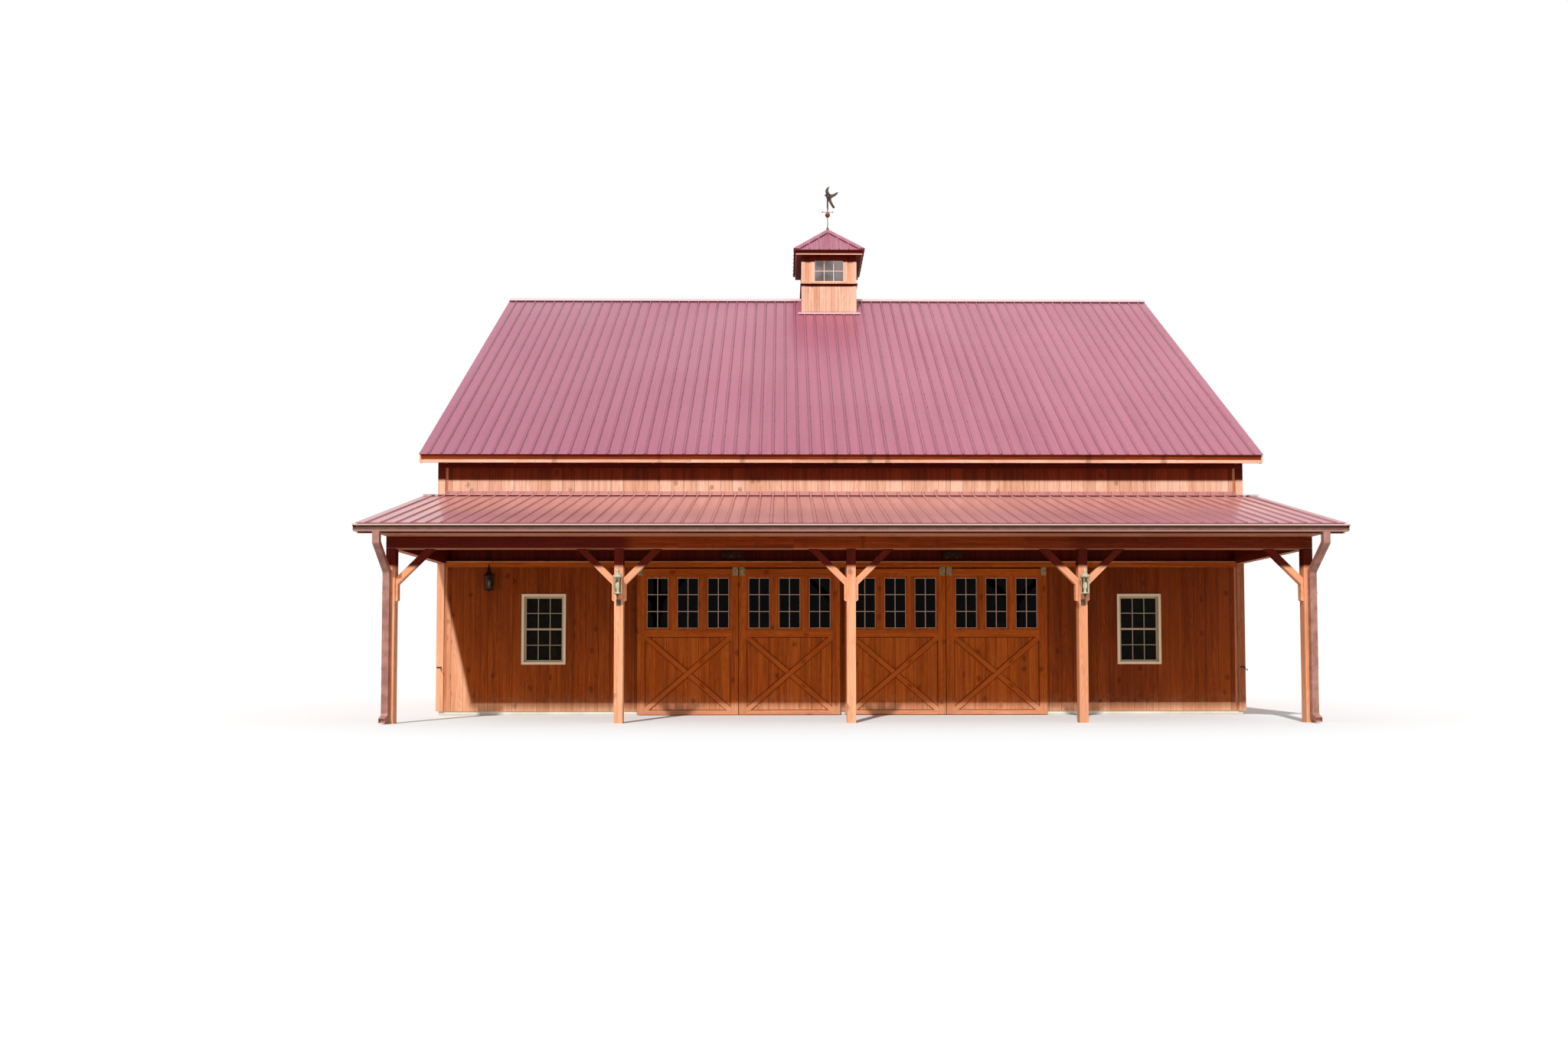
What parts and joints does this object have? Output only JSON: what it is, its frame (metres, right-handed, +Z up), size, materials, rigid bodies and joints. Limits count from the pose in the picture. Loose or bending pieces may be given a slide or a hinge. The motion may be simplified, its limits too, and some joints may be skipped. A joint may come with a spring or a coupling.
{
  "type": "red timber barn with a ribbed metal roof, front porch and cupola",
  "caption": "Red board-sided barn with a gabled ribbed metal roof, a full-width timber porch, sliding doors with crossed braces, and a cupola with a weathervane.",
  "frame": {"origin": "under the middle of the building's outer box, at ground level", "axes": "+X along the ridge, to the right as seen from the front; +Y from the front porch to the back; +Z up"},
  "size_m": [15.24, 14.3254, 12.427],
  "materials": {
    "concrete": "rough grey concrete",
    "red_boards": "red-brown stained boards, satin",
    "red_trim": "red-brown stained boards, satin",
    "porch_timber": "red-brown stained heavy timber, satin",
    "roof_timber": "bare softwood",
    "cream_paint": "cream paint, satin",
    "roofing": "dark red coated steel sheet",
    "gutter_metal": "dark brown coated aluminium",
    "copper": "weathered copper",
    "vane_metal": "dark aged metal",
    "pewter_paint": "pale pewter paint",
    "bronze_paint": "dark bronze paint",
    "steel": "galvanised steel",
    "glass": "clear glass"
  },
  "bodies": {
    "root": {"foundation": "concrete", "front_wall_left": "red_boards", "front_wall_middle": "red_boards", "front_wall_right": "red_boards", "front_wall_upper": "red_boards", "back_wall": "red_boards", "left_gable_wall": "red_boards", "right_gable_wall": "red_boards", "wall_trim": "red_trim", "front_windows": "cream_paint", "back_windows": "cream_paint", "side_windows": "cream_paint", "fixed_glass": "glass", "roof_beams": "roof_timber", "front_roof_frame": "roof_timber", "back_roof_frame": "roof_timber", "front_roof_metal": "roofing", "back_roof_metal": "roofing", "eave_boards": "red_trim", "rake_boards": "red_trim", "roof_flashings": "roofing", "porch_posts": "porch_timber", "knee_braces": "porch_timber", "porch_beams": "porch_timber", "porch_roof_frame": "porch_timber", "porch_roof_metal": "roofing", "porch_gutter": "gutter_metal", "downspouts": "gutter_metal", "cupola_walls": "red_trim", "cupola_windows": "cream_paint", "cupola_roof": "roofing", "finial_rod": "copper", "post_lanterns": "pewter_paint", "wall_lights": "bronze_paint", "door_track": "steel", "door_track_cover": "red_trim"},
    "left_outer_door": {"left_outer_leaf": "red_boards", "left_outer_glass": "glass"},
    "left_inner_door": {"left_inner_leaf": "red_boards", "left_inner_glass": "glass"},
    "right_inner_door": {"right_inner_leaf": "red_boards", "right_inner_glass": "glass"},
    "right_outer_door": {"right_outer_leaf": "red_boards", "right_outer_glass": "glass"},
    "vane": {"weathervane": "vane_metal"}
  },
  "joints": [
    {"name": "left_outer_slide", "type": "slide", "parent": "root", "child": "left_outer_door", "axis": [-1, 0, 0], "range_m": [0, 1.8]},
    {"name": "left_inner_slide", "type": "slide", "parent": "root", "child": "left_inner_door", "axis": [1, 0, 0], "range_m": [0, 0.04]},
    {"name": "right_inner_slide", "type": "slide", "parent": "root", "child": "right_inner_door", "axis": [-1, 0, 0], "range_m": [0, 0.04]},
    {"name": "right_outer_slide", "type": "slide", "parent": "root", "child": "right_outer_door", "axis": [1, 0, 0], "range_m": [0, 1.8]},
    {"name": "vane_turn", "type": "hinge", "parent": "root", "child": "vane", "pos_m": [0, 1.32384, 11.9], "axis": [0, 0, 1], "continuous": true}
  ]
}
